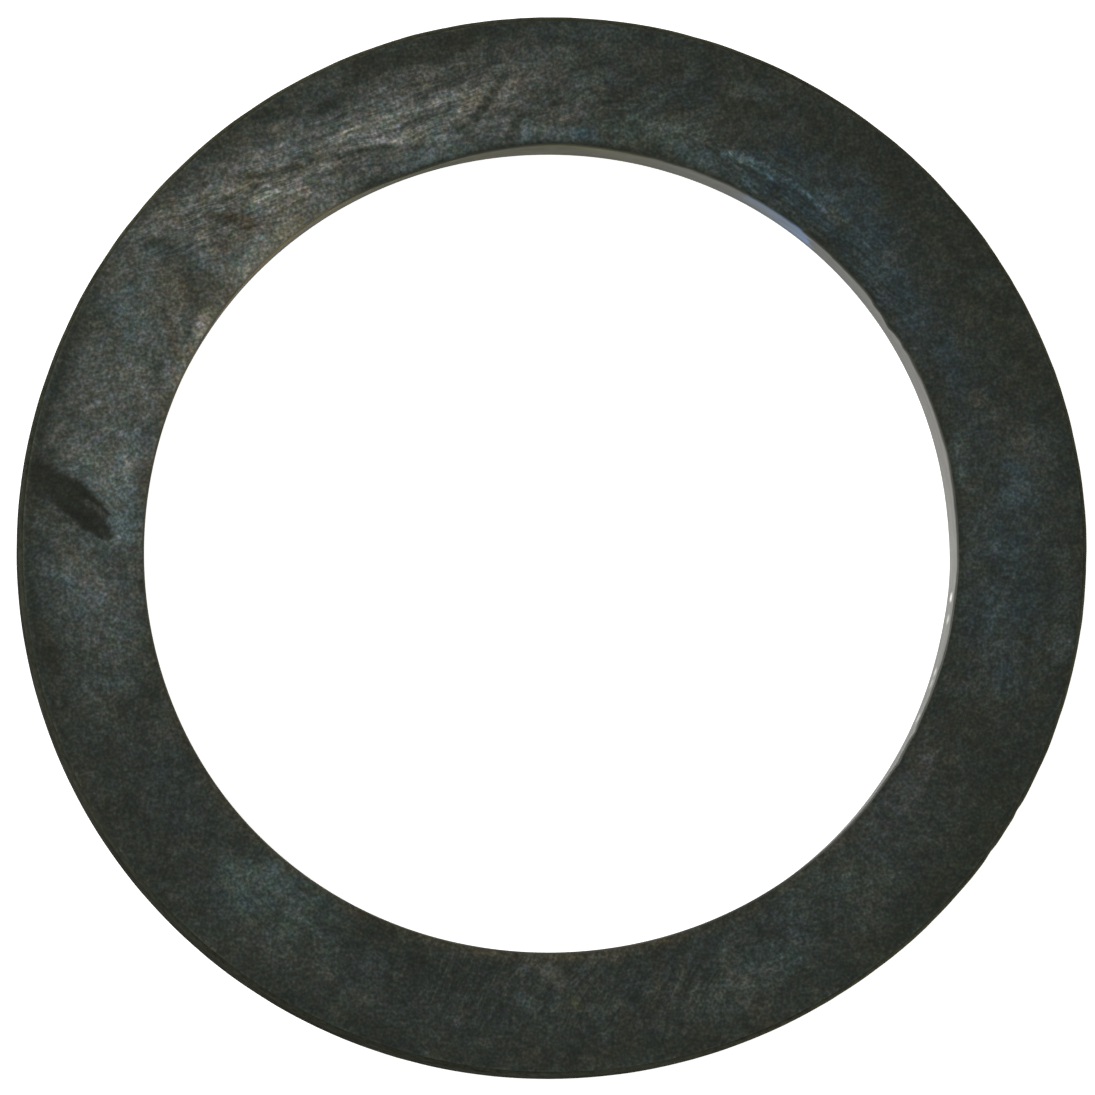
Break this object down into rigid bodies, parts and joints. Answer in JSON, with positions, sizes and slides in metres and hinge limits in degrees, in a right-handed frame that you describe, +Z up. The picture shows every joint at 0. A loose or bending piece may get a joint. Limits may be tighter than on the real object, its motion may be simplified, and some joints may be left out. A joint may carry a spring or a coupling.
{
  "type": "rubber ring gasket",
  "caption": "Flat black rubber ring that seals the face joint of a pipe or hose coupling, with a plain round bore and a rectangular section.",
  "frame": {"origin": "centre of the face that the ring lies on, on the axis of the bore", "axes": "+Z up along the axis of the bore; +X points to the right and +Y to the top of the picture"},
  "size_m": [0.0666, 0.0666, 0.0063],
  "materials": {
    "rubber": "matte moulded rubber with a faint grey bloom on its faces and a smooth bore"
  },
  "bodies": {
    "root": {"gasket_ring": "rubber"}
  },
  "joints": []
}
